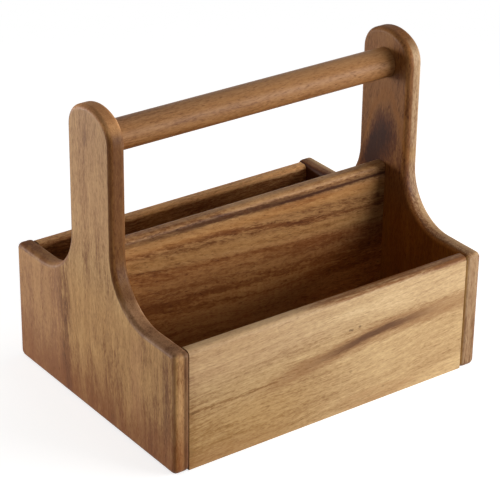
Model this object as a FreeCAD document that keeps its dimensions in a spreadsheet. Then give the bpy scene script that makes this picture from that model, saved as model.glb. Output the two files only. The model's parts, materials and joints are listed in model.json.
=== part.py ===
"""Utensil caddy in solid acacia: two shaped end boards, a front and a back board, a centre divider,
a base board let into grooves, a round handle in blind sockets and hidden wooden joint pins.

Frame: X runs along the handle, Y from the front to the back, Z up.
The origin is at the middle of the footprint, on the surface that the caddy stands on. Millimetres.
"""

import FreeCAD, Part
import Sketcher
import math
import os

from enum import IntEnum

from FreeCAD import Placement, Rotation, Vector

# ---------------------------------------------------------------------------------------------
# Driving dimensions: alias, value in millimetres, what it is
# ---------------------------------------------------------------------------------------------

DIMENSIONS = [
    ("caddy_length", 250.0, "outside length, over both end boards"),
    ("caddy_depth", 191.0, "front to back, over the end boards"),
    ("caddy_height", 220.0, "from the table to the top of the uprights"),
    ("end_thick", 12.0, "thickness of an end board"),
    ("end_round", 3.5, "round-over along every edge of an end board"),
    ("low_corner_extra", 1.5, "how much more than the round-over an end board's bottom corners curve"),
    ("shoulder_corner_extra", 0.5, "the same for the corners at the ends of its shoulders"),
    ("shoulder_height", 87.5, "height of the level shoulders of an end board"),
    ("upright_width", 50.0, "width of the upright that carries the handle"),
    ("crown_flatness", 7.0, "how much flatter the top of the upright is than a half round"),
    ("sweep_radius", 38.0, "radius of the hollow sweep from the upright to the shoulder"),
    ("wall_thick", 10.0, "thickness of the front and back boards"),
    ("wall_setback", 1.5, "how far the front and back boards lie inside the end boards' edges"),
    ("wall_height", 86.5, "height of the front and back boards"),
    ("wall_round", 3.5, "round-over along the top edges of the front and back boards"),
    ("wall_ease", 0.8, "easing of the bottom edges of the front and back boards"),
    ("divider_thick", 10.0, "thickness of the centre divider"),
    ("divider_top", 122.5, "height of the divider's top above the table"),
    ("divider_round", 3.5, "round-over along the top edges of the divider"),
    ("base_thick", 8.0, "thickness of the base board"),
    ("base_rise", 5.0, "gap between the table and the underside of the base board"),
    ("groove_deep", 4.0, "depth of the grooves that hold the base board"),
    ("groove_play", 0.2, "play of the base board in its grooves"),
    ("handle_diameter", 21.0, "diameter of the handle"),
    ("handle_drop", 24.0, "distance of the handle's axis below the top of the uprights"),
    ("handle_bevel", 1.0, "bevel on both ends of the handle"),
    ("socket_deep", 8.0, "depth of the blind sockets for the handle"),
    ("socket_play", 0.15, "radial play of the handle in its sockets"),
    ("pin_diameter", 6.0, "diameter of a joint pin"),
    ("pin_length", 30.0, "length of a joint pin"),
    ("pin_bevel", 0.8, "bevel on both ends of a joint pin"),
    ("pin_in_end", 8.0, "depth of a pin's bore in an end board"),
    ("pin_spare", 0.5, "spare depth of a pin's bore in a board's end grain, for glue"),
    ("pin_play", 0.1, "radial play of a pin in its bores"),
    ("pin_margin", 18.0, "distance of a pin's axis from the base board and from a board's top"),
    ("flute_radius", 0.4, "radius of a glue flute along a pin"),
    ("flute_count", 8, "number of glue flutes round a pin"),
]

doc = FreeCAD.newDocument("UtensilCaddy")

sheet = doc.addObject("Spreadsheet::Sheet", "Sizes")
for row, (alias, value, meaning) in enumerate(DIMENSIONS, start=1):
    sheet.set(f"A{row}", meaning)
    sheet.set(f"B{row}", f"{value:g}")
    sheet.setAlias(f"B{row}", alias)
doc.recompute()

# ---------------------------------------------------------------------------------------------
# Places that several pieces share, as expressions on the sheet
# ---------------------------------------------------------------------------------------------

INNER_LENGTH = "(Sizes.caddy_length - 2 * Sizes.end_thick)"
CROWN_RADIUS = "(Sizes.upright_width / 2 + Sizes.crown_flatness)"
CROWN_CORNER_RADIUS = "(Sizes.upright_width / 2 - Sizes.crown_flatness)"
WALL_FACE = "(Sizes.caddy_depth / 2 - Sizes.wall_setback)"
WALL_CENTRE = f"({WALL_FACE} - Sizes.wall_thick / 2)"
WALL_INSIDE = f"({WALL_FACE} - Sizes.wall_thick)"
BASE_TOP = "(Sizes.base_rise + Sizes.base_thick)"
GROOVE_TOP = f"({BASE_TOP} + Sizes.groove_play)"
BASE_IN_GROOVE = "(Sizes.groove_deep - Sizes.groove_play)"
HANDLE_CENTRE = "(Sizes.caddy_height - Sizes.handle_drop)"
LOW_PIN = f"({BASE_TOP} + Sizes.pin_margin)"
WALL_PIN = "(Sizes.wall_height - Sizes.pin_margin)"
DIVIDER_PIN = "(Sizes.divider_top - Sizes.pin_margin)"
PIN_BORE = "(Sizes.pin_diameter / 2 + Sizes.pin_play)"
PIN_BORE_IN_BOARD = "(Sizes.pin_length - Sizes.pin_in_end + Sizes.pin_spare)"
PIN_MIDDLE = f"({INNER_LENGTH} / 2 + Sizes.pin_in_end - Sizes.pin_length / 2)"


def value_of(expression):
    """What an expression on the sheet gives: where sketch geometry is first drawn."""
    return float(sheet.evalExpression(expression))


# ---------------------------------------------------------------------------------------------
# Sketching: geometry is drawn at its place, then held there by constraints bound to the sheet
# ---------------------------------------------------------------------------------------------



class Spot(IntEnum):
    """Which point of a piece of sketch geometry a constraint holds."""

    START = 1
    END = 2
    CENTRE = 3


class Axis(IntEnum):
    """The sketch's own axes, as its constraints number them."""

    ACROSS = -1
    UP = -2


SKETCH_ORIGIN = (Axis.ACROSS, Spot.START)
Z_AXIS = Vector(0, 0, 1)


def new_body(name):
    body = doc.addObject("PartDesign::Body", name)
    body.Label = name
    return body


def origin_plane(body, role):
    return next(feature for feature in body.Origin.OriginFeatures if feature.Role == role)


def new_sketch(body, role, name, offset=None):
    """An empty sketch on one of the body's own planes; offset moves it along the plane's normal."""
    sketch = body.newObject("Sketcher::SketchObject", name)
    sketch.AttachmentSupport = [(origin_plane(body, role), "")]
    sketch.MapMode = "FlatFace"
    if offset:
        sketch.setExpression(".AttachmentOffset.Base.z", offset)
    return sketch


def hold(sketch, kind, arguments, name, expression):
    """Adds a dimension to the sketch and binds it to the sheet."""
    index = sketch.addConstraint(Sketcher.Constraint(kind, *arguments, value_of(expression)))
    sketch.renameConstraint(index, name)
    sketch.setExpression(f"Constraints.{name}", expression)


def draw_line(sketch, start, end):
    return sketch.addGeometry(Part.LineSegment(Vector(*start, 0), Vector(*end, 0)))


def draw_arc(sketch, centre, radius, first_degrees, last_degrees):
    circle = Part.Circle(Vector(*centre, 0), Z_AXIS, radius)
    arc = Part.ArcOfCircle(circle, math.radians(first_degrees), math.radians(last_degrees))
    return sketch.addGeometry(arc)


def draw_circle(sketch, name, radius, across, up):
    """A circle of the given radius at (across, up), all three expressions on the sheet."""
    centre = Vector(value_of(across), value_of(up), 0)
    circle = sketch.addGeometry(Part.Circle(centre, Z_AXIS, value_of(radius)))
    hold(sketch, "Radius", (circle,), f"{name}_radius", radius)
    hold(sketch, "DistanceX", (*SKETCH_ORIGIN, circle, Spot.CENTRE), f"{name}_across", across)
    hold(sketch, "DistanceY", (*SKETCH_ORIGIN, circle, Spot.CENTRE), f"{name}_up", up)


def draw_rectangle(sketch, left, right, bottom, top):
    """A rectangle with its four sides at expressions on the sheet."""
    x0, x1, y0, y1 = (value_of(side) for side in (left, right, bottom, top))
    corners = [(x0, y0), (x1, y0), (x1, y1), (x0, y1)]
    sides = [draw_line(sketch, corners[i], corners[(i + 1) % 4]) for i in range(4)]
    for i, side in enumerate(sides):
        following = sides[(i + 1) % 4]
        meeting = Sketcher.Constraint("Coincident", side, Spot.END, following, Spot.START)
        sketch.addConstraint(meeting)
        sketch.addConstraint(Sketcher.Constraint("Horizontal" if i % 2 == 0 else "Vertical", side))
    hold(sketch, "DistanceX", (*SKETCH_ORIGIN, sides[0], Spot.START), "left", left)
    hold(sketch, "DistanceY", (*SKETCH_ORIGIN, sides[0], Spot.START), "bottom", bottom)
    hold(sketch, "DistanceX", (*SKETCH_ORIGIN, sides[2], Spot.START), "right", right)
    hold(sketch, "DistanceY", (*SKETCH_ORIGIN, sides[2], Spot.START), "top", top)


# ---------------------------------------------------------------------------------------------
# Features
# ---------------------------------------------------------------------------------------------

ALIKE = 0.01  # two lengths, or two directions of unit length, count as one when they differ by less


def pad(body, sketch, name, length, both_ways=False):
    feature = body.newObject("PartDesign::Pad", name)
    feature.Profile = sketch
    feature.SideType = "Symmetric" if both_ways else "One side"
    feature.setExpression("Length", length)
    doc.recompute()
    return feature


def pocket(body, sketch, name, depth):
    """A pocket that runs against the normal of its sketch, into the board behind it."""
    feature = body.newObject("PartDesign::Pocket", name)
    feature.Profile = sketch
    feature.Reversed = False
    feature.setExpression("Length", depth)
    doc.recompute()
    return feature


def mirrored(body, name, original, role):
    feature = body.newObject("PartDesign::Mirrored", name)
    feature.Originals = [original]
    feature.MirrorPlane = (origin_plane(body, role), [""])
    body.Tip = feature
    doc.recompute()
    return feature


def round_over(body, name, below, chosen, radius):
    """Fillets the named edges or faces of the feature below."""
    feature = body.newObject("PartDesign::Fillet", name)
    feature.Base = (below, chosen)
    feature.setExpression("Radius", radius)
    doc.recompute()
    return feature


def bevel(body, name, below, chosen, width):
    feature = body.newObject("PartDesign::Chamfer", name)
    feature.Base = (below, chosen)
    feature.setExpression("Size", width)
    doc.recompute()
    return feature


def faces_across(feature, axis):
    """Names of the flat faces that look along an axis, one way or the other."""
    names = []
    for number, face in enumerate(feature.Shape.Faces, start=1):
        flat = isinstance(face.Surface, Part.Plane)
        if flat and face.normalAt(0, 0).cross(axis).Length < ALIKE:
            names.append(f"Face{number}")
    return names


def long_edges_at(feature, height):
    """Names of the straight edges that run along X at a height."""
    names = []
    for number, edge in enumerate(feature.Shape.Edges, start=1):
        box = edge.BoundBox
        if box.YLength < ALIKE and box.ZLength < ALIKE and abs(box.ZMin - height) < ALIKE:
            names.append(f"Edge{number}")
    return names


# ---------------------------------------------------------------------------------------------
# End boards. X runs from the outer face, at 0, to the inner face
# ---------------------------------------------------------------------------------------------


def draw_end_outline(sketch):
    """The end board seen from its side: a low rectangle with an upright swept up from its middle."""
    half = value_of("Sizes.caddy_depth / 2")
    upright = value_of("Sizes.upright_width / 2")
    sweep = value_of("Sizes.sweep_radius")
    shoulder = value_of("Sizes.shoulder_height")
    flat = value_of(CROWN_RADIUS)
    tight = value_of(CROWN_CORNER_RADIUS)
    crown = value_of("Sizes.caddy_height") - flat
    side = upright - tight
    tight_centre = crown + math.sqrt((flat - tight) ** 2 - side**2)
    turn = math.degrees(math.acos(side / (flat - tight)))
    low = value_of("Sizes.end_round + Sizes.low_corner_extra")
    high = value_of("Sizes.end_round + Sizes.shoulder_corner_extra")

    bottom = draw_line(sketch, (-half + low, 0), (half - low, 0))
    back_foot = draw_arc(sketch, (half - low, low), low, 270, 360)
    back_edge = draw_line(sketch, (half, low), (half, shoulder - high))
    back_corner = draw_arc(sketch, (half - high, shoulder - high), high, 0, 90)
    back_shoulder = draw_line(sketch, (half - high, shoulder), (upright + sweep, shoulder))
    back_sweep = draw_arc(sketch, (upright + sweep, shoulder + sweep), sweep, 180, 270)
    back_upright = draw_line(sketch, (upright, shoulder + sweep), (upright, tight_centre))
    back_crown = draw_arc(sketch, (side, tight_centre), tight, 0, turn)
    top = draw_arc(sketch, (0, crown), flat, turn, 180 - turn)
    front_crown = draw_arc(sketch, (-side, tight_centre), tight, 180 - turn, 180)
    front_upright = draw_line(sketch, (-upright, tight_centre), (-upright, shoulder + sweep))
    front_sweep = draw_arc(sketch, (-upright - sweep, shoulder + sweep), sweep, 270, 360)
    front_shoulder = draw_line(sketch, (-upright - sweep, shoulder), (-half + high, shoulder))
    front_corner = draw_arc(sketch, (-half + high, shoulder - high), high, 90, 180)
    front_edge = draw_line(sketch, (-half, shoulder - high), (-half, low))
    front_foot = draw_arc(sketch, (-half + low, low), low, 180, 270)

    # Going round the outline, each piece is left at one end and the next is entered at another.
    round_trip = [
        (bottom, Spot.END, back_foot, Spot.START),
        (back_foot, Spot.END, back_edge, Spot.START),
        (back_edge, Spot.END, back_corner, Spot.START),
        (back_corner, Spot.END, back_shoulder, Spot.START),
        (back_shoulder, Spot.END, back_sweep, Spot.END),
        (back_sweep, Spot.START, back_upright, Spot.START),
        (back_upright, Spot.END, back_crown, Spot.START),
        (back_crown, Spot.END, top, Spot.START),
        (top, Spot.END, front_crown, Spot.START),
        (front_crown, Spot.END, front_upright, Spot.START),
        (front_upright, Spot.END, front_sweep, Spot.END),
        (front_sweep, Spot.START, front_shoulder, Spot.START),
        (front_shoulder, Spot.END, front_corner, Spot.START),
        (front_corner, Spot.END, front_edge, Spot.START),
        (front_edge, Spot.END, front_foot, Spot.START),
        (front_foot, Spot.END, bottom, Spot.START),
    ]
    for joint in round_trip:
        sketch.addConstraint(Sketcher.Constraint("Tangent", *joint))
    for line in (bottom, back_shoulder, front_shoulder):
        sketch.addConstraint(Sketcher.Constraint("Horizontal", line))
    for line in (back_edge, back_upright, front_upright, front_edge):
        sketch.addConstraint(Sketcher.Constraint("Vertical", line))
    sketch.addConstraint(Sketcher.Constraint("PointOnObject", bottom, Spot.START, Axis.ACROSS))

    low_corner = "Sizes.end_round + Sizes.low_corner_extra"
    high_corner = "Sizes.end_round + Sizes.shoulder_corner_extra"
    hold(sketch, "Radius", (back_foot,), "back_foot", low_corner)
    hold(sketch, "Radius", (front_foot,), "front_foot", low_corner)
    hold(sketch, "Radius", (back_corner,), "back_corner", high_corner)
    hold(sketch, "Radius", (front_corner,), "front_corner", high_corner)
    hold(sketch, "Radius", (back_sweep,), "back_sweep", "Sizes.sweep_radius")
    hold(sketch, "Radius", (front_sweep,), "front_sweep", "Sizes.sweep_radius")
    hold(sketch, "Radius", (top,), "top", CROWN_RADIUS)
    hold(sketch, "Radius", (back_crown,), "back_crown", CROWN_CORNER_RADIUS)
    hold(sketch, "Radius", (front_crown,), "front_crown", CROWN_CORNER_RADIUS)

    def across(line, name, expression):
        hold(sketch, "DistanceX", (*SKETCH_ORIGIN, line, Spot.START), name, expression)

    def up(piece, point, name, expression):
        hold(sketch, "DistanceY", (*SKETCH_ORIGIN, piece, point), name, expression)

    across(back_edge, "back_edge", "Sizes.caddy_depth / 2")
    across(front_edge, "front_edge", "-Sizes.caddy_depth / 2")
    across(back_upright, "back_upright", "Sizes.upright_width / 2")
    across(front_upright, "front_upright", "-Sizes.upright_width / 2")
    up(back_shoulder, Spot.START, "back_shoulder", "Sizes.shoulder_height")
    up(front_shoulder, Spot.START, "front_shoulder", "Sizes.shoulder_height")
    sketch.addConstraint(Sketcher.Constraint("PointOnObject", top, Spot.CENTRE, Axis.UP))
    up(top, Spot.CENTRE, "crown", f"Sizes.caddy_height - {CROWN_RADIUS}")


def make_end(name):
    body = new_body(name)
    outline = new_sketch(body, "YZ_Plane", f"{name}_outline")
    draw_end_outline(outline)
    board = pad(body, outline, f"{name}_board", "Sizes.end_thick")
    both_faces = faces_across(board, Vector(1, 0, 0))
    round_over(body, f"{name}_round", board, both_faces, "Sizes.end_round")

    socket = new_sketch(body, "YZ_Plane", f"{name}_socket_sketch", "Sizes.end_thick")
    draw_circle(socket, "socket", "Sizes.handle_diameter / 2 + Sizes.socket_play", "0", HANDLE_CENTRE)
    pocket(body, socket, f"{name}_socket", "Sizes.socket_deep")

    groove = new_sketch(body, "YZ_Plane", f"{name}_groove_sketch", "Sizes.end_thick")
    reach = f"({WALL_INSIDE} + Sizes.groove_deep)"
    draw_rectangle(groove, f"-{reach}", reach, "Sizes.base_rise", GROOVE_TOP)
    pocket(body, groove, f"{name}_groove", "Sizes.groove_deep")

    bores = new_sketch(body, "YZ_Plane", f"{name}_bores_sketch", "Sizes.end_thick")
    draw_circle(bores, "divider_low", PIN_BORE, "0", LOW_PIN)
    draw_circle(bores, "divider_high", PIN_BORE, "0", DIVIDER_PIN)
    for side, sign in (("front", "-"), ("back", "")):
        draw_circle(bores, f"{side}_low", PIN_BORE, sign + WALL_CENTRE, LOW_PIN)
        draw_circle(bores, f"{side}_high", PIN_BORE, sign + WALL_CENTRE, WALL_PIN)
    pocket(body, bores, f"{name}_bores", "Sizes.pin_in_end")
    return body


left_end = make_end("left_end")
left_end.setExpression(".Placement.Base.x", "-Sizes.caddy_length / 2")

right_end = make_end("right_end")
right_end.Placement = Placement(Vector(0, 0, 0), Rotation(Z_AXIS, 180))
right_end.setExpression(".Placement.Base.x", "Sizes.caddy_length / 2")

# ---------------------------------------------------------------------------------------------
# Boards between the ends
# ---------------------------------------------------------------------------------------------


def bore_both_ends(body, name, across, heights):
    """Blind bores for the joint pins in the end grain, at one place across and several heights."""
    bores = new_sketch(body, "YZ_Plane", f"{name}_bores_sketch", f"{INNER_LENGTH} / 2")
    for number, height in enumerate(heights, start=1):
        draw_circle(bores, f"bore_{number}", PIN_BORE, across, height)
    right_bores = pocket(body, bores, f"{name}_bores", PIN_BORE_IN_BOARD)
    mirrored(body, f"{name}_bores_mirrored", right_bores, "YZ_Plane")


def make_wall(name):
    """The front or back board. Y runs from its outer face, at 0, to its inner face."""
    body = new_body(name)
    section = new_sketch(body, "YZ_Plane", f"{name}_section")
    draw_rectangle(section, "0", "Sizes.wall_thick", "0", "Sizes.wall_height")
    board = pad(body, section, f"{name}_board", INNER_LENGTH, both_ways=True)
    top_edges = long_edges_at(board, value_of("Sizes.wall_height"))
    rounded = round_over(body, f"{name}_round", board, top_edges, "Sizes.wall_round")
    bottom_edges = long_edges_at(rounded, 0)
    round_over(body, f"{name}_ease", rounded, bottom_edges, "Sizes.wall_ease")

    groove = new_sketch(body, "YZ_Plane", f"{name}_groove_sketch", f"{INNER_LENGTH} / 2")
    groove_floor = "Sizes.wall_thick - Sizes.groove_deep"
    draw_rectangle(groove, groove_floor, "Sizes.wall_thick", "Sizes.base_rise", GROOVE_TOP)
    pocket(body, groove, f"{name}_groove", INNER_LENGTH)

    bore_both_ends(body, name, "Sizes.wall_thick / 2", [LOW_PIN, WALL_PIN])
    return body


front_board = make_wall("front_board")
front_board.setExpression(".Placement.Base.y", f"-{WALL_FACE}")

back_board = make_wall("back_board")
back_board.Placement = Placement(Vector(0, 0, 0), Rotation(Z_AXIS, 180))
back_board.setExpression(".Placement.Base.y", WALL_FACE)


def make_divider(name):
    """The centre board. It stands on the base board and is pinned to both ends."""
    body = new_body(name)
    section = new_sketch(body, "YZ_Plane", f"{name}_section")
    half_thick = "Sizes.divider_thick / 2"
    draw_rectangle(section, f"-{half_thick}", half_thick, BASE_TOP, "Sizes.divider_top")
    board = pad(body, section, f"{name}_board", INNER_LENGTH, both_ways=True)
    top_edges = long_edges_at(board, value_of("Sizes.divider_top"))
    round_over(body, f"{name}_round", board, top_edges, "Sizes.divider_round")
    bore_both_ends(body, name, "0", [LOW_PIN, DIVIDER_PIN])
    return body


divider = make_divider("divider")


def make_base(name):
    """The floor of both compartments. Its four edges lie in the grooves of the boards round it."""
    body = new_body(name)
    plan = new_sketch(body, "XY_Plane", f"{name}_plan")
    half_length = f"({INNER_LENGTH} / 2 + {BASE_IN_GROOVE})"
    half_depth = f"({WALL_INSIDE} + {BASE_IN_GROOVE})"
    draw_rectangle(plan, f"-{half_length}", half_length, f"-{half_depth}", half_depth)
    pad(body, plan, f"{name}_board", "Sizes.base_thick")
    return body


base_board = make_base("base_board")
base_board.setExpression(".Placement.Base.z", "Sizes.base_rise")

# ---------------------------------------------------------------------------------------------
# Handle and joint pins: round rods that lie along X
# ---------------------------------------------------------------------------------------------


def make_rod(name, diameter, length, bevel_width):
    """A plain rod along X, about the middle of its own body, with both ends bevelled."""
    body = new_body(name)
    section = new_sketch(body, "YZ_Plane", f"{name}_section")
    draw_circle(section, "rod", f"{diameter} / 2", "0", "0")
    rod = pad(body, section, f"{name}_rod", length, both_ways=True)
    end_faces = faces_across(rod, Vector(1, 0, 0))
    bevel(body, f"{name}_bevel", rod, end_faces, bevel_width)
    return body


HANDLE_LENGTH = f"({INNER_LENGTH} + 2 * Sizes.socket_deep)"
handle = make_rod("handle", "Sizes.handle_diameter", HANDLE_LENGTH, "Sizes.handle_bevel")
handle.setExpression(".Placement.Base.z", HANDLE_CENTRE)


def make_pin(name):
    """One joint pin, with glue flutes along it."""
    body = make_rod(name, "Sizes.pin_diameter", "Sizes.pin_length", "Sizes.pin_bevel")
    flute = new_sketch(body, "YZ_Plane", f"{name}_flute_sketch", "Sizes.pin_length / 2")
    draw_circle(flute, "flute", "Sizes.flute_radius", "0", "Sizes.pin_diameter / 2")
    first_flute = pocket(body, flute, f"{name}_flute", "Sizes.pin_length")
    pattern = body.newObject("PartDesign::PolarPattern", f"{name}_flutes")
    pattern.Originals = [first_flute]
    pattern.Axis = (origin_plane(body, "X_Axis"), [""])
    pattern.Angle = 360
    pattern.setExpression("Occurrences", "Sizes.flute_count")
    body.Tip = pattern
    doc.recompute()
    return body


joint_pin = make_pin("joint_pin")


def pin_group(name, across, heights):
    """The pins of one board: at both ends and at each height, as separate solids in one group."""
    links = []
    for end, sign in (("left", "-"), ("right", "")):
        for number, height in enumerate(heights, start=1):
            link = doc.addObject("App::Link", f"{name}_{end}_{number}")
            link.LinkedObject = joint_pin
            link.setExpression(".Placement.Base.x", sign + PIN_MIDDLE)
            link.setExpression(".Placement.Base.y", across)
            link.setExpression(".Placement.Base.z", height)
            links.append(link)
    group = doc.addObject("Part::Compound", name)
    group.Label = name
    group.Links = links
    return group


front_board_pins = pin_group("front_board_pins", f"-{WALL_CENTRE}", [LOW_PIN, WALL_PIN])
back_board_pins = pin_group("back_board_pins", WALL_CENTRE, [LOW_PIN, WALL_PIN])
divider_pins = pin_group("divider_pins", "0", [LOW_PIN, DIVIDER_PIN])

# ---------------------------------------------------------------------------------------------
# Checks, then one STEP file for each piece
# ---------------------------------------------------------------------------------------------

PIECES = [
    left_end,
    right_end,
    front_board,
    back_board,
    divider,
    base_board,
    handle,
    front_board_pins,
    back_board_pins,
    divider_pins,
]

doc.recompute()

for item in doc.Objects:
    if "Invalid" in item.State or "Error" in item.State:
        raise RuntimeError(f"{item.Name} did not recompute: {item.State}")
    if item.TypeId == "PartDesign::Pocket" and item.Shape.Volume >= item.BaseFeature.Shape.Volume:
        raise RuntimeError(f"{item.Name} cuts nothing")

for piece in PIECES:
    if piece.Shape.isNull() or not piece.Shape.isValid():
        raise RuntimeError(f"{piece.Label} has no valid shape")

os.makedirs("parts", exist_ok=True)
for piece in PIECES:
    piece.Shape.exportStep(os.path.join("parts", f"{piece.Label}.step"))
    box = piece.Shape.BoundBox
    sides = f"{box.XLength:.1f} x {box.YLength:.1f} x {box.ZLength:.1f} mm"
    print(f"{piece.Label}: {len(piece.Shape.Solids)} solid(s), {sides}, {piece.Shape.Volume / 1000:.1f} cm3")
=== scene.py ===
"""Finishes for a wooden utensil caddy: the wood of each board, and the studio that it stands in."""

import json
import math

import bpy
from mathutils import Matrix, Vector

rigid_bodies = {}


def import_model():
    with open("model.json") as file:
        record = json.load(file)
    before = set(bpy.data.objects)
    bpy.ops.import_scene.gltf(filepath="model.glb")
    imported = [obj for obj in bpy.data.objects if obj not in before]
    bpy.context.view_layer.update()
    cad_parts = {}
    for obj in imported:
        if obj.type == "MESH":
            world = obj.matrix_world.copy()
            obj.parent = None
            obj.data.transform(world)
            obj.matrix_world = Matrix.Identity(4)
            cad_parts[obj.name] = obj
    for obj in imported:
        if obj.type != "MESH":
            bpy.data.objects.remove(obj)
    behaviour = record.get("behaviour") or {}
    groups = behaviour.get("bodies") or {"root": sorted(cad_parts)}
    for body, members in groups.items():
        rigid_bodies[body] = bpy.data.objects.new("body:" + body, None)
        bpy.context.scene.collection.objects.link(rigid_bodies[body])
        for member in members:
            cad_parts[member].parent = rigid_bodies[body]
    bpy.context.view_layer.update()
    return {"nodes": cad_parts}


bl_info = {
    "name": "Utensil caddy finishes",
    "version": (1, 0, 0),
    "blender": (4, 5, 0),
    "location": "3D View > Sidebar > Caddy",
    "description": "Gives each board of a utensil caddy its wood, and sets up the studio",
    "category": "Material",
}

for leftover in list(bpy.data.objects):
    bpy.data.objects.remove(leftover)

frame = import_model()

MM = 0.001


def colour(red, green, blue):
    """The linear colour of three screen values from 0 to 255."""
    shares = [value / 255 for value in (red, green, blue)]
    return tuple(s / 12.92 if s <= 0.04045 else ((s + 0.055) / 1.055) ** 2.4 for s in shares)


def colour_property(name, description, screen):
    return bpy.props.FloatVectorProperty(
        name=name, description=description, default=colour(*screen), subtype="COLOR", min=0, max=1
    )


def length_property(name, description, millimetres):
    return bpy.props.FloatProperty(
        name=name, description=description, default=millimetres * MM, unit="LENGTH", min=0
    )


def share_property(name, description, default):
    return bpy.props.FloatProperty(
        name=name, description=description, default=default, subtype="FACTOR", min=0, max=1
    )


class WoodColours(bpy.types.PropertyGroup):
    """The colours that the wood is mixed from."""

    deep: colour_property("Deep", "The darkest late wood", (72, 40, 18))
    dark: colour_property("Dark", "Dark bands of heartwood", (130, 88, 52))
    middle: colour_property("Middle", "The ground colour", (180, 143, 100))
    light: colour_property("Light", "Light bands", (204, 168, 122))
    pale: colour_property("Pale", "The palest sapwood", (224, 192, 145))
    streak: colour_property("Streak", "The purple-brown mineral streaks", (84, 52, 34))
    rosy: colour_property("Rosy", "Pinkish areas", (198, 154, 120))
    golden: colour_property("Golden", "Golden areas", (192, 148, 88))
    russet: colour_property("Russet", "Reddish brown areas", (142, 88, 46))
    knot: colour_property("Knot", "Pin knots", (84, 50, 34))


class WoodFigure(bpy.types.PropertyGroup):
    """The sizes of what shows in the wood, and how it shines."""

    band_length: length_property("Band length", "Length of the broad tone bands", 300)
    band_width: length_property("Band width", "Width of the broad tone bands", 22)
    stripe_length: length_property("Stripe length", "Length of the narrow stripes", 95)
    stripe_width: length_property("Stripe width", "Width of the narrow stripes", 4.8)
    thread_length: length_property("Thread length", "Length of the thin lines", 17)
    thread_width: length_property("Thread width", "Width of the thin lines", 1.5)
    fibre_length: length_property("Fibre length", "Length of the fine fibres", 3.4)
    fibre_width: length_property("Fibre width", "Width of the fine fibres", 0.85)
    ripple_length: length_property("Ripple length", "Size of a ripple along the grain", 2.0)
    ripple_width: length_property("Ripple width", "Size of a ripple across the grain", 6)
    pore_length: length_property("Pore length", "Length of an open pore", 4)
    pore_width: length_property("Pore width", "Width of an open pore", 0.4)
    pore_depth: length_property("Pore depth", "Depth of an open pore", 0.08)
    ring_gap: length_property("Ring gap", "Distance between growth rings", 7)
    roughness: share_property("Roughness", "Roughness of the oiled surface", 0.48)
    gloss: share_property("Gloss", "Specular level of the oiled surface", 0.13)


class Studio(bpy.types.PropertyGroup):
    """Where the camera and the lights stand, and how strong the lights are."""

    camera_place: bpy.props.FloatVectorProperty(
        name="Camera place",
        description="Where the camera stands",
        default=(-0.752949, -1.027533, 0.734798),
        subtype="TRANSLATION",
        unit="LENGTH",
    )
    camera_turn: bpy.props.FloatProperty(
        name="Camera turn",
        description="How far the camera turns from looking straight at the front",
        default=math.radians(36.277),
        subtype="ANGLE",
    )
    camera_tilt: bpy.props.FloatProperty(
        name="Camera tilt",
        description="How far the camera looks down",
        default=math.radians(27.027),
        subtype="ANGLE",
    )
    camera_roll: bpy.props.FloatProperty(
        name="Camera roll",
        description="How far the camera leans",
        default=math.radians(0.823),
        subtype="ANGLE",
    )
    camera_lens: bpy.props.FloatProperty(
        name="Camera lens", description="Focal length in millimetres", default=152.31, min=1
    )
    key_power: bpy.props.FloatProperty(
        name="Key light", description="Power of the light at the front", default=12.8, unit="POWER"
    )
    rear_power: bpy.props.FloatProperty(
        name="Rear light", description="Power of the light behind", default=5.1, unit="POWER"
    )
    top_power: bpy.props.FloatProperty(
        name="Top light", description="Power of the light above", default=2.4, unit="POWER"
    )
    room_light: share_property("Room light", "Strength of the light from all round", 0.19)
    floor_colour: colour_property("Floor", "The pale floor", (208, 208, 208))


class Wire:
    """One output of a shader node. Arithmetic on it adds Math nodes."""

    def __init__(self, shader, socket):
        self.shader = shader
        self.socket = socket

    def maths(self, operation, *values):
        """A Math node with those values, which are numbers or other outputs."""
        sockets = dict(enumerate(values))
        return self.shader.node("ShaderNodeMath", {"operation": operation}, sockets)[0]

    def __add__(self, other):
        return self.maths("ADD", self, other)

    def __radd__(self, other):
        return self.maths("ADD", other, self)

    def __sub__(self, other):
        return self.maths("SUBTRACT", self, other)

    def __rsub__(self, other):
        return self.maths("SUBTRACT", other, self)

    def __mul__(self, other):
        return self.maths("MULTIPLY", self, other)

    def __rmul__(self, other):
        return self.maths("MULTIPLY", other, self)

    def __truediv__(self, other):
        return self.maths("DIVIDE", self, other)

    def __rtruediv__(self, other):
        return self.maths("DIVIDE", other, self)

    def __pow__(self, other):
        return self.maths("POWER", self, other)

    def __abs__(self):
        return self.maths("ABSOLUTE", self)


class Outlets:
    """The outputs of one node, by name or number."""

    def __init__(self, shader, made):
        self.shader = shader
        self.made = made

    def __getitem__(self, name):
        return Wire(self.shader, self.made.outputs[name])


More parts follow.
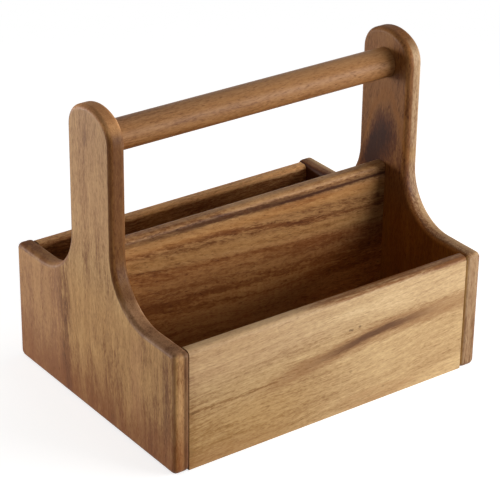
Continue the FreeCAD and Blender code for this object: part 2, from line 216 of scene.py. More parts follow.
class Shader:
    """A node tree that is built from expressions."""

    def __init__(self, tree):
        self.tree = tree
        self.tree.nodes.clear()

    def node(self, kind, settings=None, values=None):
        """Adds a node, with its settings first and then the values or links of its sockets."""
        made = self.tree.nodes.new(kind)
        for name, setting in (settings or {}).items():
            if name == "stops":
                self.set_stops(made.color_ramp, setting)
            else:
                setattr(made, name, setting)
        for name, value in (values or {}).items():
            if isinstance(value, Wire):
                self.tree.links.new(value.socket, made.inputs[name])
            else:
                made.inputs[name].default_value = value
        return Outlets(self, made)

    def set_stops(self, ramp, stops):
        while len(ramp.elements) < len(stops):
            ramp.elements.new(0.5)
        for element, (position, shade) in zip(ramp.elements, stops):
            element.position = position
            element.color = (*shade, 1)

    def rise(self, value, low, high):
        """0 below low and 1 above high, smooth between. It falls where low is the larger."""
        flip = low > high
        low, high = min(low, high), max(low, high)
        steps = {0: value, 1: low, 2: high, 3: 1.0 if flip else 0.0, 4: 0.0 if flip else 1.0}
        return self.node("ShaderNodeMapRange", {"interpolation_type": "SMOOTHSTEP"}, steps)[0]

    def mix(self, mask, first, second, blend="MIX"):
        """first where mask is 0 and second where it is 1, both colours."""
        shades = [c if isinstance(c, Wire) else (*c, 1) for c in (first, second)]
        settings = {"data_type": "RGBA", "blend_type": blend}
        return self.node("ShaderNodeMix", settings, {0: mask, 6: shades[0], 7: shades[1]})[2]

    def tint(self, mask, base, shade):
        """base multiplied by a colour where mask is 1."""
        return self.mix(mask, base, shade, "MULTIPLY")


AXES = {"x": 0, "y": 1, "z": 2}
LEFT, FRONT, UP, DOWN = (-1, 0, 0), (0, -1, 0), (0, 0, 1), (0, 0, -1)
FRONT_LEFT = (-0.7, -0.7, 0.15)

# One seed for each noise that a board uses, and for each that only its own marks use.
BEND, DRIFT, BAND, CLOUD, STRIPE, FIBRE, RIPPLE, PORE, RING, THREAD, HOLLOW, WAVE = range(1, 13)
SWAY, STRAY, PATCH, BLOTCH, RIBBON, FLECK = range(21, 27)
BOARD_STEP, NOISE_STEP = 17.3, 5.7  # how far apart the noises of two boards, or of one, start

# Noise sizes along, across and through the grain, in millimetres.
BEND_SIZE, WAVE_SIZE, DRIFT_SIZE = (190, 70, 70), (8, 3.4, 3.4), (240, 90, 90)
CLOUD_SIZE, RING_SIZE, HOLLOW_SIZE = (90, 45, 45), (150, 30, 30), (26, 18, 18)

BEND_REACH, DRIFT_REACH = 26, 18  # millimetres that the grain wanders, across and through
RING_WANDER = 1.6  # how many rings the count of rings wanders by
THREAD_STRAY, FIBRE_STRAY = 7, 3  # millimetres that threads and fibres move a mark's edge by
FLAT, TURNED = 0.998, 0.965  # cosines: still a board's flat side, and well into its rounding

MIDDLE_TONE = 0.52
FIBRE_RELIEF, HOLLOW_RELIEF, LATE_RELIEF = 0.03, 0.12, 0.015  # millimetres
RELIEF_STRENGTH = 0.6

PORE_TINT = colour(150, 118, 96)
END_GRAIN_TINT = colour(172, 146, 122)


class Wood(Shader):
    """Solid wood that is cut in the grain's own directions, so faces, edges and ends agree.

    grain names the axes along the grain, across it and through the board. lean is the slope
    of the grain, heart is where the tree's centre lies, across and through the board, stain is
    a colour over the whole board, and curl is how far the fine waves in the grain reach.

    Lengths are in millimetres. place holds a point's x to the right, y to the back and z up,
    from the middle of the caddy's underside.
    """

    def __init__(self, name, scene, grain, seed, lean=0.0, heart=(-70, 60), stain=None, curl=1.6):
        self.material = bpy.data.materials.new(name)
        self.material.use_nodes = True
        super().__init__(self.material.node_tree)
        self.colours = scene.caddy_colours
        self.figure = scene.caddy_figure
        self.seed = seed
        self.stain = stain
        coordinates = self.node("ShaderNodeTexCoord")
        scaled = self.node(
            "ShaderNodeVectorMath",
            {"operation": "SCALE"},
            {0: coordinates["Object"], 3: 1 / MM},
        )[0]
        apart = self.node("ShaderNodeSeparateXYZ", None, {0: scaled})
        self.place = [apart[0], apart[1], apart[2]]
        along, across, through = (self.place[AXES[letter]] for letter in grain)
        straight = (along, across, through)
        slope = math.tan(lean)
        self.along = along
        bend = self.noise(BEND_SIZE, BEND, vector=straight)
        wave = self.noise(WAVE_SIZE, WAVE, 2.0, 0.6, vector=straight)
        self.across = across - along * slope + (bend - 0.5) * BEND_REACH + (wave - 0.5) * curl
        drift = self.noise(DRIFT_SIZE, DRIFT, vector=straight)
        self.through = through + (drift - 0.5) * DRIFT_REACH
        self.heart = heart
        self.normal = coordinates["Normal"]
        self.facing = self.node(
            "ShaderNodeVectorMath",
            {"operation": "DOT_PRODUCT"},
            {0: self.normal, 1: [1.0 if letter == grain[0] else 0.0 for letter in "xyz"]},
        )[1]

    def noise(self, size, seed, detail=2.0, rough=0.5, vector=None):
        """Noise of that size along, across and through the grain, about 0.5 on average."""
        axes = vector or (self.along, self.across, self.through)
        parts = {0: axes[0] / size[0], 1: axes[1] / size[1], 2: axes[2] / size[2]}
        place = self.node("ShaderNodeCombineXYZ", None, parts)[0]
        values = {
            "Vector": place,
            "W": self.seed * BOARD_STEP + seed * NOISE_STEP,
            "Scale": 1.0,
            "Detail": detail,
            "Roughness": rough,
        }
        return self.node("ShaderNodeTexNoise", {"noise_dimensions": "4D"}, values)[0]

    def grow(self, bands=0.8, rings=0.15, ripples=0.1):
        """The wood's own figure: bands, stripes, rings, fibres, ripples and pores.

        It sets the tone, which runs from 0 for the deepest of the wood's colours to 1 for the
        palest.
        """
        f = self.figure
        long, wide = f.band_length / MM, f.band_width / MM
        self.band = self.noise((long, wide, wide), BAND, 2.0)
        self.cloud = self.noise(CLOUD_SIZE, CLOUD, 2.0)
        long, wide = f.stripe_length / MM, f.stripe_width / MM
        self.stripe = self.noise((long, wide, wide), STRIPE, 3.0, 0.6)
        long, wide = f.thread_length / MM, f.thread_width / MM
        self.thread = self.noise((long, wide, wide), THREAD, 2.0, 0.6)
        long, wide = f.fibre_length / MM, f.fibre_width / MM
        self.fibre = self.noise((long, wide, wide), FIBRE, 3.0, 0.6)
        long, wide = f.ripple_length / MM, f.ripple_width / MM
        ripple = self.noise((long, wide, wide), RIPPLE, 1.0)
        ripple = (ripple - 0.5) * self.rise(self.cloud, 0.48, 0.62)
        long, wide = f.pore_length / MM, f.pore_width / MM
        self.pore = self.rise(self.noise((long, wide, wide), PORE, 0.0), 0.66, 0.76)
        self.late = self.rings(f.ring_gap / MM)
        self.tone = (
            MIDDLE_TONE
            + (self.band - 0.5) * bands
            + (self.stripe - 0.5) * 0.34
            + (self.cloud - 0.5) * 0.4
            + (self.thread - 0.5) * 0.5
            + (self.fibre - 0.5) * 0.85
            + ripple * ripples
            - self.late * rings
        )
        self.end = self.rise(abs(self.facing), 0.35, 0.95)

    def rings(self, gap):
        """Late wood: a dark line on the outside of each growth ring, and some rings fainter."""
        across = self.across - self.heart[0]
        through = self.through - self.heart[1]
        wander = (self.noise(RING_SIZE, RING, 2.0) - 0.5) * RING_WANDER
        count = (across * across + through * through) ** 0.5 / gap + wander
        year = count.maths("FLOOR", count)
        within = count - year
        strength = self.node("ShaderNodeTexWhiteNoise", {"noise_dimensions": "1D"}, {"W": year})[0]
        line = self.rise(within, 0.3, 0.93) * self.rise(within, 1.0, 0.95)
        return line * strength * strength

    def towards(self, direction, low, high):
        """1 where the surface faces that direction of the object, and 0 where it turns away."""
        settings = {"operation": "DOT_PRODUCT"}
        faced = self.node("ShaderNodeVectorMath", settings, {0: self.normal, 1: direction})[1]
        return self.rise(faced, low, high)

    def rounded(self, axis):
        """1 on a board's rounded edges: where the surface turns away from its two flat sides."""
        faced = self.node("ShaderNodeSeparateXYZ", None, {0: self.normal})[AXES[axis]]
        return self.rise(abs(faced), FLAT, TURNED)

    def line(self, centre, across, half, soft, ragged=1.0):
        """A long mark that follows centre, 1 in the middle and 0 beyond half and soft."""
        stray = (self.thread - 0.5) * THREAD_STRAY + (self.fibre - 0.5) * FIBRE_STRAY
        stray = stray * ragged
        return self.rise(abs(across - centre) + stray - half, soft, 0.0)

    def spot(self, first, second, at, size):
        """An oval mark, 1 at its middle and 0 at its edge, in two directions."""
        away = ((first - at[0]) / size[0]) ** 2 + ((second - at[1]) / size[1]) ** 2
        return self.rise(away, 1.0, 0.15)

    def darken(self, mask, amount=1.0):
        """Lowers the tone where mask is 1."""
        self.tone = self.tone - mask * amount

    def finish(self, shade=None, roughness=0.0, gloss=1.0):
        """The surface: the tone through the wood's colours, its sheen and its relief."""
        c = self.colours
        stops = [
            (0.0, c.deep),
            (0.26, c.dark),
            (0.5, c.middle),
            (0.74, c.light),
            (1.0, c.pale),
        ]
        body = self.node("ShaderNodeValToRGB", {"stops": stops}, {0: self.tone})[0]
        if shade:
            body = shade(body)
        if self.stain:
            body = self.tint(1.0, body, self.stain)
        body = self.tint(self.pore * 0.55, body, PORE_TINT)
        body = self.tint(self.end * 0.6, body, END_GRAIN_TINT)
        # Pores and late wood lie low, and the planed face is a little uneven.
        height = (
            (self.fibre - 0.5) * FIBRE_RELIEF
            - self.pore * (self.figure.pore_depth / MM)
            + (self.noise(HOLLOW_SIZE, HOLLOW, 1.0) - 0.5) * HOLLOW_RELIEF
            - self.late * LATE_RELIEF
        )
        depth = {"Strength": RELIEF_STRENGTH, "Distance": MM, "Height": height}
        relief = self.node("ShaderNodeBump", None, depth)
        even = self.figure.roughness + roughness
        sheen = even + (self.stripe - 0.5) * 0.16 + self.pore * 0.2 + self.end * 0.12
        skin = self.node(
            "ShaderNodeBsdfPrincipled",
            None,
            {
                "Base Color": body,
                "Roughness": sheen,
                "Specular IOR Level": self.figure.gloss * gloss,
                "Normal": relief[0],
            },
        )
        self.node("ShaderNodeOutputMaterial", None, {0: skin[0]})
        return self.material


def dress(node, material):
    """Gives a CAD node its finish."""
    for slot in frame["nodes"][node].material_slots:
        slot.material = material


class CADDY_OT_end_boards(bpy.types.Operator):
    """Finish the two end boards, whose grain stands upright"""

    bl_idname = "caddy.end_boards"
    bl_label = "Finish end boards"

    def execute(self, context):
        self.left(context.scene)
        self.right(context.scene)
        return {"FINISHED"}

    def left(self, scene):
        """The left board: pale and rosy above, brown below, with dark veins and turned edges."""
        stain = (1.0, 0.92, 0.8)
        wood = Wood("left_end_wood", scene, "zyx", 1, lean=0.03, heart=(60, 45), stain=stain)
        wood.grow()
        c = wood.colours
        x, y, z = wood.place
        sway = (wood.noise((60, 300, 300), SWAY) - 0.5) * 8
        patch = (wood.noise((34, 14, 14), PATCH, 2.0) - 0.5) * 34
        low = wood.rise(z + patch, 50, 0)
        blotch = wood.noise((26, 9, 9), BLOTCH, 2.0, 0.6)
        ribbon = wood.noise((40, 7, 70), RIBBON, 2.0, 0.6)
        wood.tone += (wood.stripe - 0.5) * 0.2
        wood.tone += (blotch - 0.5) * 0.4
        wood.tone += (ribbon - 0.5) * 0.5
        wood.tone += (wood.fibre - 0.5) * wood.rise(z, 84, 120) * 0.35
        vein = wood.line(30 + z * 0.09 + sway * 0.5, y, 1.0, 7, 0.5) * wood.rise(z, 104, 84)
        mauve = wood.line(-85 + sway * 0.4, y, 0.8, 5, 0.6) * wood.rise(z, 10, 30)
        pink = wood.line(-52 + sway, y, 3, 6) * wood.rise(z, 10, 26) * wood.rise(z, 92, 70)
        tan = wood.line(-69 + sway, y, 3, 6) + wood.line(-31 + sway, y, 7, 8) * wood.rise(z, 45, 66)
        leaning = wood.line(-17 + z * 0.3, y, 0.8, 3.5) + wood.line(3 + z * 0.28, y, 0.8, 3)
        light = tan * 0.07 + leaning * wood.rise(z, 100, 80) * 0.08
        wood.tone += light * wood.rise(z, 20, 40)
        wood.tone = wood.tone + 0.03 + wood.rise(z, 66, 92) * wood.rise(z, 190, 140) * 0.07
        wood.darken(vein, 0.15)
        wood.darken(mauve, 0.1)
        wood.darken(low, 0.19)
        wood.darken(wood.rise(y, 36, 42) * wood.rise(z, 96, 84), 0.2)
        mark = wood.spot(y, z, (4.5, 200), (4, 8))
        wood.darken(mark, 0.14)

        turned = wood.rounded("x")
        upright = wood.rise(z + wood.rise(y, 0, -12) * 19, 110, 122) * wood.rise(z, 214, 204)
        crown = wood.rise(z, 204, 214)
        rear = wood.rise(y, 0, 12) * wood.rise(z, 130, 100) * wood.rise(z, 76, 84)
        arris = wood.towards(LEFT, 0.997, 0.965) * wood.towards(LEFT, 0.5, 0.75)
        tip = rear * wood.rise(y, 64, 90)
        scar = wood.rise(wood.noise((8, 6, 6), FLECK, 2.0, 0.6), 0.42, 0.58)
        # Painted reflection: the rounded lower front sweep is tinted grey-blue, as a sheen of the
        # light.
        painted_sheen = wood.rise(y, -10, -30) * wood.rise(z, 108, 94)
        wood.darken(turned * (upright * 0.12 - crown * 0.3 + tip * scar * 0.3))
        low_band = wood.towards(FRONT, 0.3, 0.85) * wood.rise(z, 92, 86)
        # Painted fill light: rounded edges that face front and left are made lighter, as if lit
        # from there.
        between = wood.towards(FRONT_LEFT, 0.78, 0.95)
        wood.darken(arris * (1 - upright) * wood.rise(y, -60, -20), 0.22)
        # Painted shade: the groove where this board meets the front board is darkened.
        groove = wood.rise(x, -119.2, -117.0) * wood.towards(FRONT, 0.0, 0.3)
        groove = groove * wood.rise(z, 90, 86)
        # Painted shade on the rounded rear edge of the low part of the board.
        rear_edge_shade = turned * wood.rise(y, 92.0, 93.2) * wood.rise(z, 90, 84)
        front_arris = arris * wood.rise(z, 92, 86) * wood.rise(y, -60, -90)
        rosy = wood.rise(y + sway, 34, 44) * wood.rise(z, 108, 88) + wood.rise(z, 104, 150) * 0.7
        golden = wood.rise(y + sway, 34, 20) * wood.rise(y, -80, -20)
        # The rounded edges of the upright, crown and tip, and the arris, are mixed towards russet.
        russet_edges = turned * (upright * 0.3 + crown * 0.2 + tip * 0.2) + arris * 0.2

        def shade(body):
            body = wood.mix(rosy * 0.4 + pink * 0.3, body, c.rosy)
            body = wood.mix(golden * 0.12, body, c.golden)
            body = wood.mix(low * 0.62, body, c.russet)
            body = wood.mix(mauve * 0.18, body, c.streak)
            body = wood.tint(wood.rise(z, 112, 80), body, (1.01, 0.965, 0.89))
            body = wood.tint(wood.rise(z, 100, 140), body, (1.04, 1.04, 1.07))
            body = wood.mix(russet_edges, body, c.russet)
            body = wood.mix(turned * rear * 0.3, body, c.golden)
            body = wood.tint(turned * rear * scar, body, (0.74, 0.64, 0.6))
            body = wood.tint(turned * upright, body, (0.43, 0.35, 0.26))
            body = wood.tint(wood.rise(y, 42, 58) * wood.rise(z, 100, 90), body, (0.93, 0.93, 0.93))
            body = wood.tint(crown * turned, body, (1.22, 1.13, 1.05))
            # Painted reflection on the rounded lower front sweep.
            body = wood.tint(turned * painted_sheen * (1 - low_band), body, (0.86, 0.88, 1.15))
            # Painted fill light on the rounded edges that face front and left.
            body = wood.tint(between, body, (1.4, 1.4, 1.3))
            body = wood.tint(low_band, body, (0.84, 0.82, 0.86))
            body = wood.tint(turned * rear * (tip * 0.6), body, (0.78, 0.68, 0.64))
            # Painted shade on the rounded rear edge.
            body = wood.tint(rear_edge_shade, body, (0.6, 0.55, 0.56))
            body = wood.mix(front_arris * 0.35, body, c.dark)
            # Painted shade in the groove against the front board.
            return wood.mix(groove * 0.7, body, c.deep)

        dress("left_end", wood.finish(shade))

    def right(self, scene):
        """The right board, with the dark hollow mark on the upright's inner face."""
        wood = Wood("right_end_wood", scene, "zyx", 2, lean=-0.02, heart=(-70, -60))
        wood.grow(0.6, 0.08)
        c = wood.colours
        x, y, z = wood.place
        stray = (wood.noise((30, 16, 16), STRAY, 2.0) - 0.5) * 18
        arch = 168 - z - (y + 3) * (y + 3) / 11.5 + stray
        left_side = wood.rise(y + (z - 150) * 0.6 + 16 + stray * 0.4, -12, 12)
        inside = 0.35 + wood.rise(x, 125, 118) * 0.65
        core = wood.rise(arch, -6, 26) * left_side * wood.rise(z, 100, 122) * inside
        glow = wood.rise(arch, -15, -7) * wood.rise(arch, 0, -5) * wood.rise(z, 120, 140)
        wood.darken(core, 0.5)
        wood.darken(wood.rise(z, 172, 118), 0.1)

        front = wood.towards(FRONT, 0.3, 0.85)
        upper = wood.towards(UP, 0.3, 0.85)
        upper = upper * wood.rise(z, 204, 194)
        sweep = upper * wood.rise(z, 132, 112)
        both = front + upper
        # Painted light and shade: edges that face the key light, and the low front edge, count as
        # lit; all other faces are painted darker as shade below.
        lit = both.maths("MINIMUM", both, 1.0) * wood.rise(x + sweep * 2.5, 116.6, 118.4)
        low_front = wood.towards(FRONT, 0.0, 0.3) * wood.rise(z, 88, 84)
        shine = lit.maths("MAXIMUM", lit, low_front)
        # The upright's rounded inner edge where it is not counted as lit, for painted light and
        # shade.
        hollow = wood.towards(FRONT, 0.05, 0.4) * (1 - shine) * wood.rise(z, 206, 194)
        inner_turn = wood.towards(FRONT, 0.4, 0.8)
        # Painted light: faces turned up on the outer side are made lighter.
        brow = upper * wood.rise(x, 118, 121)
        smooth = 0.04 + (wood.thread - 0.5) * 0.1 - (wood.fibre - 0.5) * 0.5
        wood.tone = wood.tone + brow * 0.3 + low_front * smooth
        # Painted shade on the outer rounding of the low front edge.
        wood.darken(low_front * wood.rise(x, 120.8, 124), 0.16)
        # Painted bounced light: the low inner face is made lighter and warmer.
        bounced_light = wood.towards(LEFT, 0.5, 0.9) * wood.rise(z, 112, 80) * wood.rise(y, 20, 0)
        calm = wood.towards(LEFT, 0.5, 0.9) * wood.rise(z, 120, 104) * 0.55
        wood.tone = wood.tone + (0.43 - wood.tone) * calm
        sill = wood.towards(UP, 0.3, 0.85) * wood.rise(y, 20, 40) * wood.rise(x, 121, 118)
        # Painted shade on the inner face towards the back compartment.
        rear_nook_shade = wood.rise(y, 40, 66) * wood.towards(LEFT, 0.3, 0.8)

        def shade(body):
            body = wood.mix(glow * 0.55, body, c.golden)
            body = wood.mix(core * 0.42, body, c.streak)
            # Painted shade on everything that is not counted as lit.
            body = wood.tint(1 - shine, body, (0.56, 0.375, 0.22))
            # Painted light and shade on the upright's rounded inner edge: lifted where it turns to
            # the inner face, darker where it turns to the front.
            body = wood.tint(hollow * (1 - inner_turn), body, (1.4, 1.5, 1.65))
            body = wood.tint(hollow * inner_turn, body, (0.8, 0.8, 0.85))
            # Painted shade in the back compartment.
            body = wood.tint(rear_nook_shade, body, (0.33, 0.22, 0.16))
            body = wood.tint(sill, body, (0.6, 0.45, 0.36))
            # Painted bounced light on the low inner face.
            body = wood.tint(bounced_light, body, (1.35, 1.2, 0.6))
            body = wood.tint(sweep, body, (1.3, 1.33, 1.3))
            # Painted light on the inner rounding of the low front edge, which lies in shade.
            body = wood.tint(low_front * wood.rise(x, 116.8, 114.4), body, (1.3, 1.32, 1.4))
            # Painted light: the lit edges get their own slightly cooler colour.
            return wood.tint(shine, body, (0.83, 0.86, 0.98))

        dress("right_end", wood.finish(shade))


class CADDY_OT_front_board(bpy.types.Operator):
    """Finish the front board, with its long streak and pin knots"""

    bl_idname = "caddy.front_board"
    bl_label = "Finish front board"

    def execute(self, context):
        scene, stain = context.scene, (0.965, 1.0, 1.0)
        wood = Wood("front_board_wood", scene, "xzy", 3, lean=0.045, heart=(-60, 75), stain=stain)
        wood.grow()
        c = wood.colours
        x, z = wood.place[0], wood.place[2]
        sway = (wood.noise((46, 500, 500), SWAY) - 0.5) * 5
        path = 41.7 + wood.rise(x, -75, 68) * 14.2 + sway * 0.3
        core = wood.line(path - 1.0, z, 1.0, 3.4, 0.6)
        core = core * wood.rise(x, -30, 28) * wood.rise(x, 100, 42)
        halo = wood.line(path - 5.5, z, 2.0, 5.5, 0.8)
        halo = halo * wood.rise(x, -20, 20) * wood.rise(x, 125, 70)
        lines = wood.noise((120, 2.4, 30), FLECK, 2.0, 0.6) - 0.5
        band = wood.line(path - 1.0, z, 3.2, 6.0, 0.9)
        band = band * wood.rise(x, -66, -24) * wood.rise(x, 230, 60)
        hair = wood.line(path, z, 0.1, 1.6, 0.5) * wood.rise(x, -20, -50)
        second = wood.line(60.5 + sway * 0.3, z, 0.3, 2.5, 0.6) * wood.rise(x, 30, 55)
        faint = wood.line(23.5 + x * 0.01 - sway, z, 0.1, 1.8) * wood.rise(x, -40, -80)
        knots = (
            wood.spot(x, z, (14.4, 61.4), (1.6, 1.1))
            + wood.spot(x, z, (16.2, 61.0), (1.3, 1.0))
            + wood.spot(x, z, (22.4, 61.9), (1.5, 1.1))
            + wood.spot(x, z, (16.2, 29.8), (1.6, 1.6)) * 0.4
            + wood.spot(x, z, (44.5, 9.3), (1.5, 1.3)) * 0.4
        )
        patch = wood.spot(x, z, (38, 6), (44, 7)) * wood.rise(wood.stripe, 0.35, 0.6)
        rim = wood.rise(z + wood.stripe * 6, 86, 90.5)
        streaky = wood.rise(wood.stripe + wood.thread * 0.6, 0.55, 0.9)
        rim_dark = wood.rise(x, -45, 15) * (0.08 + streaky * 0.55)
        wood.darken(hair * 0.16 + second * 0.08 + faint * 0.12 + rim * rim_dark)
        wood.darken(wood.rise(x, -104, -112), 0.1)
        wood.darken(halo, 0.11)
        wood.pore = wood.pore * 0.6
        # Painted light: the board gets lighter towards the right, where the key light stands.
        wood.tone = wood.tone + wood.rise(x, -80, 70) * 0.14 - (wood.fibre - 0.5) * 0.15
        wood.tone += lines * wood.rise(x, 60, -60) * 0.35
        wood.tone += wood.rise(z, 58, 74) * wood.rise(x, -70, 0) * wood.rise(x, 110, 40) * 0.1
        wood.tone += wood.rise(x, -40, -70) * (rim * 0.1 + wood.rise(z, 50, 30) * 0.05)
        wood.darken(wood.rise(z, 44, 30) * wood.rise(x, 50, 0), 0.05)
        upper = wood.rise(z, 52, 70) * wood.rise(x, -80, -30)
        rosy = wood.rise(x + wood.band * 60, 60, -60) * wood.rise(z, 50, 70)
        golden = wood.rise(x, 20, -60) * wood.rise(z, 60, 20)
        low = wood.rise(x, -20, -90) * wood.rise(z, 16, 4)

        def shade(body):
            body = wood.tint(upper, body, (1.03, 1.05, 1.12))
            body = wood.mix(rosy * 0.25, body, c.rosy)
            body = wood.mix(golden * 0.35, body, c.golden)
            body = wood.mix(low * 0.35 + patch * 0.35 + rim * rim_dark, body, c.russet)
            body = wood.mix(band * 0.5, body, c.russet)
            body = wood.mix(core * 0.45, body, c.russet)
            body = wood.mix(band * 0.14 + core * 0.68, body, c.streak)
            return wood.mix(knots * 0.6, body, c.knot)

        dress("front_board", wood.finish(shade))
        return {"FINISHED"}


class CADDY_OT_back_board(bpy.types.Operator):
    """Finish the back board"""

    bl_idname = "caddy.back_board"
    bl_label = "Finish back board"

    def execute(self, context):
        scene, stain = context.scene, (0.97, 0.82, 0.67)
        wood = Wood("back_board_wood", scene, "xzy", 4, lean=-0.02, heart=(-85, -60), stain=stain)
        wood.grow()
        c = wood.colours
        x, z = wood.place[0], wood.place[2]
        sway = (wood.noise((60, 500, 500), SWAY) - 0.5) * 9
        vein = wood.line(62 - x * 0.05 + sway, z, 0.8, 3)
        wood.darken(vein, 0.18)
        # Painted shade: the inner face below the rim is darkened.
        inner = wood.towards(FRONT, 0.7, 0.95)
        rim = wood.rise(z, 83.2, 85.2)
        wood.darken(inner * (1 - rim), 0.16)
        golden = wood.rise(wood.cloud, 0.45, 0.6)

        def shade(body):
            body = wood.mix(golden * 0.25, body, c.golden)
            # Painted light: the top rim is made lighter.
            body = wood.tint(rim, body, (1.4, 1.38, 1.35))
            return wood.mix(vein * 0.4, body, c.streak)

        dress("back_board", wood.finish(shade))
        return {"FINISHED"}


class CADDY_OT_divider(bpy.types.Operator):
    """Finish the divider, with its dark streaks"""

    bl_idname = "caddy.divider"
    bl_label = "Finish divider"

    def execute(self, context):
        scene, stain = context.scene, (0.76, 0.6, 0.46)
        wood = Wood(
            "divider_wood", scene, "xzy", 5, lean=-0.06, heart=(-40, 50), stain=stain, curl=4.5
        )
        wood.grow(0.6, 0.14, 0.3)
        c = wood.colours
        x, z = wood.place[0], wood.place[2]
        sway = (wood.noise((50, 500, 500), SWAY) - 0.5) * 4
        first = wood.line(118.4 - wood.rise(x, -60, 60) * 2.4 + sway * 0.3, z, 0.9, 2.5, 0.6)
        first = first * (0.6 + wood.rise(x, -80, -45) * 0.4 - wood.rise(x, 25, 60) * 0.45)
        thin = wood.line(115.4 + sway * 0.2, z, 0.25, 1.3, 0.3) * wood.rise(x, 0, 45)
        cloudy = wood.line(112.5 + sway * 0.3, z, 0.8, 2.6)
        cloudy = cloudy * wood.rise(x, 5, 25) * wood.rise(x, 75, 50)
        second = wood.line(108.8 - wood.rise(x, -55, 80) * 15.5 + sway * 0.4, z, 0.4, 2.8, 0.8)
        second = second * (0.6 + wood.rise(x, -50, -15) * wood.rise(x, 60, 20) * 0.6)
        brown = wood.rise(z, 97, 101) * wood.rise(z, 108, 103) * wood.rise(x, -20, -50)
        third = wood.line(63.5 - x * 0.045 + sway * 0.8, z, 0.9, 3.4)
        fourth = wood.line(55.5 - x * 0.02 - sway, z, 0.6, 3.0)
        # Below this line the divider is darker and redder: partly its own colour, partly painted
        # shade inside the compartment.
        edge = 88.5 - x * 0.085 + sway * 0.6
        below = wood.rise(z - edge, 2.5, -4)
        gold = wood.line(111 - x * 0.03 + sway * 0.5, z, 1.8, 3.6)
        gold = gold + wood.line(edge + 5, z, 1.0, 5) * 0.6
        ribbon = wood.noise((170, 5, 60), RIBBON, 2.0, 0.6)
        slanted = (x - z * 0.3, z + x * 0.3, wood.through)
        flecks = wood.noise((9, 1.5, 30), FLECK, 1.0, 0.6, slanted) - 0.5
        wood.tone = wood.tone + gold * 0.12 + (wood.stripe - 0.5) * 0.2 + (ribbon - 0.5) * 0.42
        wood.tone += flecks * wood.rise(z, 70, 90) * 0.5
        right_low = wood.rise(z, 100, 97) * wood.rise(x, 0, 60)
        # Darker below the line, partly as painted shade, and along some streaks.
        wood.darken(below * 0.2 + brown * 0.1 + cloudy * 0.08 + right_low * 0.1)
        # Painted fill light: the low part of the divider is made lighter.
        wood.tone += wood.rise(z, 74, 56) * 0.12
        wood.tone += wood.rise(z, 118.5, 120.5) * wood.rise(x, -40, 0) * 0.1
        wood.darken(second * 0.2 + third * 0.18 + fourth * 0.1)
        deepest = first * wood.rise(wood.thread, 0.42, 0.56) * 0.6 + thin * 0.3

        def shade(body):
            body = wood.mix(gold * 0.35, body, c.golden)
            body = wood.mix(below * 0.4 + second * 0.35 + cloudy * 0.3, body, c.russet)
            body = wood.mix(first * 0.7 + thin * 0.6, body, c.streak)
            body = wood.mix(deepest, body, c.deep)
            body = wood.tint(wood.rise(z, 110, 114), body, (0.97, 1.03, 1.12))
            body = wood.tint((1 - below) * wood.rise(z, 112, 102), body, (0.84, 0.86, 0.84))
            # Partly painted shade below the line, on the left.
            body = wood.tint(below * wood.rise(x, 70, 20), body, (0.92, 0.95, 0.9))
            # Painted fill light on the low part of the divider, most towards the right.
            body = wood.tint(wood.rise(z, 74, 50), body, (1.28, 1.25, 1.15))
            return wood.tint(wood.rise(z, 76, 50) * wood.rise(x, 20, 90), body, (1.3, 1.25, 1.0))

        dress("divider", wood.finish(shade))
        return {"FINISHED"}


class CADDY_OT_base_board(bpy.types.Operator):
    """Finish the base board, which lies in its grooves"""

    bl_idname = "caddy.base_board"
    bl_label = "Finish base board"

    def execute(self, context):
        scene, stain = context.scene, (0.9, 0.75, 0.62)
        wood = Wood("base_board_wood", scene, "xyz", 6, lean=0.015, heart=(30, -70), stain=stain)
        wood.grow()
        c = wood.colours
        russet = wood.rise(wood.band, 0.4, 0.65)
        dress("base_board", wood.finish(lambda body: wood.mix(russet * 0.3, body, c.russet)))
        return {"FINISHED"}


class CADDY_OT_handle(bpy.types.Operator):
    """Finish the turned handle"""

    bl_idname = "caddy.handle"
    bl_label = "Finish handle"

    def execute(self, context):
        scene, stain = context.scene, (0.655, 0.515, 0.42)
        wood = Wood("handle_wood", scene, "xzy", 7, lean=0.01, heart=(150, 30), stain=stain)
        wood.grow()
        c = wood.colours
        golden = 0.35 + (wood.band - 0.5) * 0.6
        wood.tone += (wood.fibre - 0.5) * 0.1
        # Painted shade on the underside, which faces the dark compartment.
        under = wood.towards(DOWN, 0.2, 0.8)

        def shade(body):
            body = wood.mix(golden, body, c.golden)
            # Painted shade on the underside.
            return wood.tint(under, body, (0.78, 0.7, 0.6))

        dress("handle", wood.finish(shade, gloss=1.5))
        return {"FINISHED"}


class CADDY_OT_joint_pins(bpy.types.Operator):
    """Finish the pins that hold the boards together"""

    bl_idname = "caddy.joint_pins"
    bl_label = "Finish joint pins"

    def execute(self, context):
        wood = Wood("pin_wood", context.scene, "xyz", 8, heart=(200, 40))
        wood.grow()
        wood.tone += 0.16
        made = wood.finish(roughness=0.1)
        for node in sorted(frame["nodes"]):
            if "pin" in node:
                dress(node, made)
        return {"FINISHED"}


WHITE = (1, 1, 1, 1)
FLOOR_GLOW = 0.74  # how strongly the floor lights itself where a background ray meets it
FADE_RADII = (0.26, 0.7)  # metres: between them the floor turns to plain white


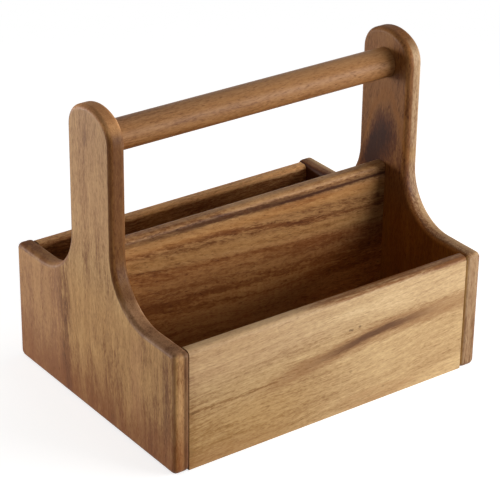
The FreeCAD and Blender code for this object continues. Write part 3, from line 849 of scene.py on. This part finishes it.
class CADDY_OT_stage(bpy.types.Operator):
    """Set up the floor, the lights, the room and the camera"""

    bl_idname = "caddy.stage"
    bl_label = "Set up stage"

    def execute(self, context):
        studio = context.scene.caddy_studio
        self.floor(context, studio)
        self.room(context, studio)
        self.softbox(context, "key_light", (0.72, -0.76, 0.27), (0.9, 0.4), studio.key_power)
        self.softbox(context, "rear_light", (-0.6, 0.68, 0.12), (0.6, 0.22), studio.rear_power)
        self.softbox(context, "top_light", (0.45, -0.1, 1.2), (0.8, 0.8), studio.top_power)
        self.camera(context, studio)
        context.scene.view_settings.view_transform = "Standard"
        return {"FINISHED"}

    def link(self, context, name, data):
        """Puts a new object into the scene."""
        made = bpy.data.objects.new(name, data)
        context.scene.collection.objects.link(made)
        return made

    def seen(self, shader):
        """1 for rays that show a background: seen directly, mirrored or through glass."""
        path = shader.node("ShaderNodeLightPath")
        seen = path["Is Camera Ray"] + path["Is Glossy Ray"] + path["Is Transmission Ray"]
        return shader.rise(seen, 0.0, 1.0)

    def floor(self, context, studio):
        """A round pale floor just under the caddy. It keeps the shadow and fades to white."""
        sheet = bpy.data.meshes.new("floor")
        reach, rings, spokes = 6.0, (0.3, 1.0, 2.4), 48
        height = -0.05 * MM  # just below the boards, which would otherwise share its plane
        points = [(0, 0, height)]
        for radius in (*rings, reach):
            for step in range(spokes):
                angle = math.tau * step / spokes
                points.append((radius * math.cos(angle), radius * math.sin(angle), height))
        faces = [(0, 1 + step, 1 + (step + 1) % spokes) for step in range(spokes)]
        for ring in range(len(rings)):
            for step in range(spokes):
                after = (step + 1) % spokes
                near, far = 1 + ring * spokes, 1 + (ring + 1) * spokes
                faces.append((near + step, far + step, far + after, near + after))
        sheet.from_pydata(points, [], faces)
        floor = self.link(context, "floor", sheet)
        paint = bpy.data.materials.new("floor_paint")
        paint.use_nodes = True
        shader = Shader(paint.node_tree)
        place = shader.node("ShaderNodeTexCoord")["Object"]
        away = shader.node("ShaderNodeVectorMath", {"operation": "LENGTH"}, {0: place})[1]
        seen = self.seen(shader)
        lit = shader.node("ShaderNodeBsdfDiffuse", None, {0: (*studio.floor_colour, 1)})
        glow = shader.node("ShaderNodeEmission", None, {0: WHITE, 1: FLOOR_GLOW})
        glowing = shader.node("ShaderNodeAddShader", None, {0: lit[0], 1: glow[0]})
        near = shader.node("ShaderNodeMixShader", None, {0: seen, 1: lit[0], 2: glowing[0]})
        white = shader.node("ShaderNodeEmission", None, {0: WHITE, 1: 1.0})
        fade = seen * shader.rise(away, *FADE_RADII)
        both = shader.node("ShaderNodeMixShader", None, {0: fade, 1: near[0], 2: white[0]})
        shader.node("ShaderNodeOutputMaterial", None, {0: both[0]})
        sheet.materials.append(paint)

    def room(self, context, studio):
        """Even light from all round, and a white background."""
        world = bpy.data.worlds.new("room")
        world.use_nodes = True
        context.scene.world = world
        shader = Shader(world.node_tree)
        level = studio.room_light
        dim = shader.node("ShaderNodeBackground", None, {0: WHITE, 1: level})
        white = shader.node("ShaderNodeBackground", None, {0: WHITE, 1: 1.0})
        seen = self.seen(shader)
        both = shader.node("ShaderNodeMixShader", None, {0: seen, 1: dim[0], 2: white[0]})
        shader.node("ShaderNodeOutputWorld", None, {0: both[0]})

    def softbox(self, context, name, place, size, power):
        """A rectangular lamp that points at the middle of the caddy. Lengths are in metres."""
        lamp = bpy.data.lights.new(name, "AREA")
        lamp.shape = "RECTANGLE"
        lamp.size, lamp.size_y = size
        lamp.energy = power
        made = self.link(context, name, lamp)
        made.location = place
        aim = Vector((0, 0, 0.1)) - Vector(place)
        made.rotation_euler = aim.to_track_quat("-Z", "Y").to_euler()
        made.visible_camera = False

    def camera(self, context, studio):
        """The camera, from its place, turn, tilt and roll."""
        camera = bpy.data.cameras.new("camera")
        camera.lens = studio.camera_lens
        camera.sensor_width = 36
        made = self.link(context, "camera", camera)
        turn = Matrix.Rotation(-studio.camera_turn, 4, "Z")
        tilt = Matrix.Rotation(math.radians(90) - studio.camera_tilt, 4, "X")
        roll = Matrix.Rotation(studio.camera_roll, 4, "Z")
        made.matrix_world = Matrix.Translation(studio.camera_place) @ turn @ tilt @ roll
        context.scene.camera = made


STEPS = (
    CADDY_OT_stage,
    CADDY_OT_end_boards,
    CADDY_OT_front_board,
    CADDY_OT_back_board,
    CADDY_OT_divider,
    CADDY_OT_base_board,
    CADDY_OT_handle,
    CADDY_OT_joint_pins,
)


class CADDY_PT_finishes(bpy.types.Panel):
    """The caddy's finishes and its studio"""

    bl_idname = "CADDY_PT_finishes"
    bl_label = "Caddy"
    bl_space_type = "VIEW_3D"
    bl_region_type = "UI"
    bl_category = "Caddy"

    def draw(self, context):
        for step in STEPS:
            self.layout.operator(step.bl_idname)
        for group in (
            context.scene.caddy_colours,
            context.scene.caddy_figure,
            context.scene.caddy_studio,
        ):
            box = self.layout.box()
            for name in group.__annotations__:
                box.prop(group, name)


GROUPS = {"caddy_colours": WoodColours, "caddy_figure": WoodFigure, "caddy_studio": Studio}


def register():
    for name, group in GROUPS.items():
        bpy.utils.register_class(group)
        setattr(bpy.types.Scene, name, bpy.props.PointerProperty(type=group))
    for step in (*STEPS, CADDY_PT_finishes):
        bpy.utils.register_class(step)


def unregister():
    for step in reversed((*STEPS, CADDY_PT_finishes)):
        bpy.utils.unregister_class(step)
    for name, group in GROUPS.items():
        delattr(bpy.types.Scene, name)
        bpy.utils.unregister_class(group)


def main():
    register()
    for step in STEPS:
        getattr(bpy.ops.caddy, step.bl_idname.partition(".")[2])()


if __name__ == "__main__":
    main()
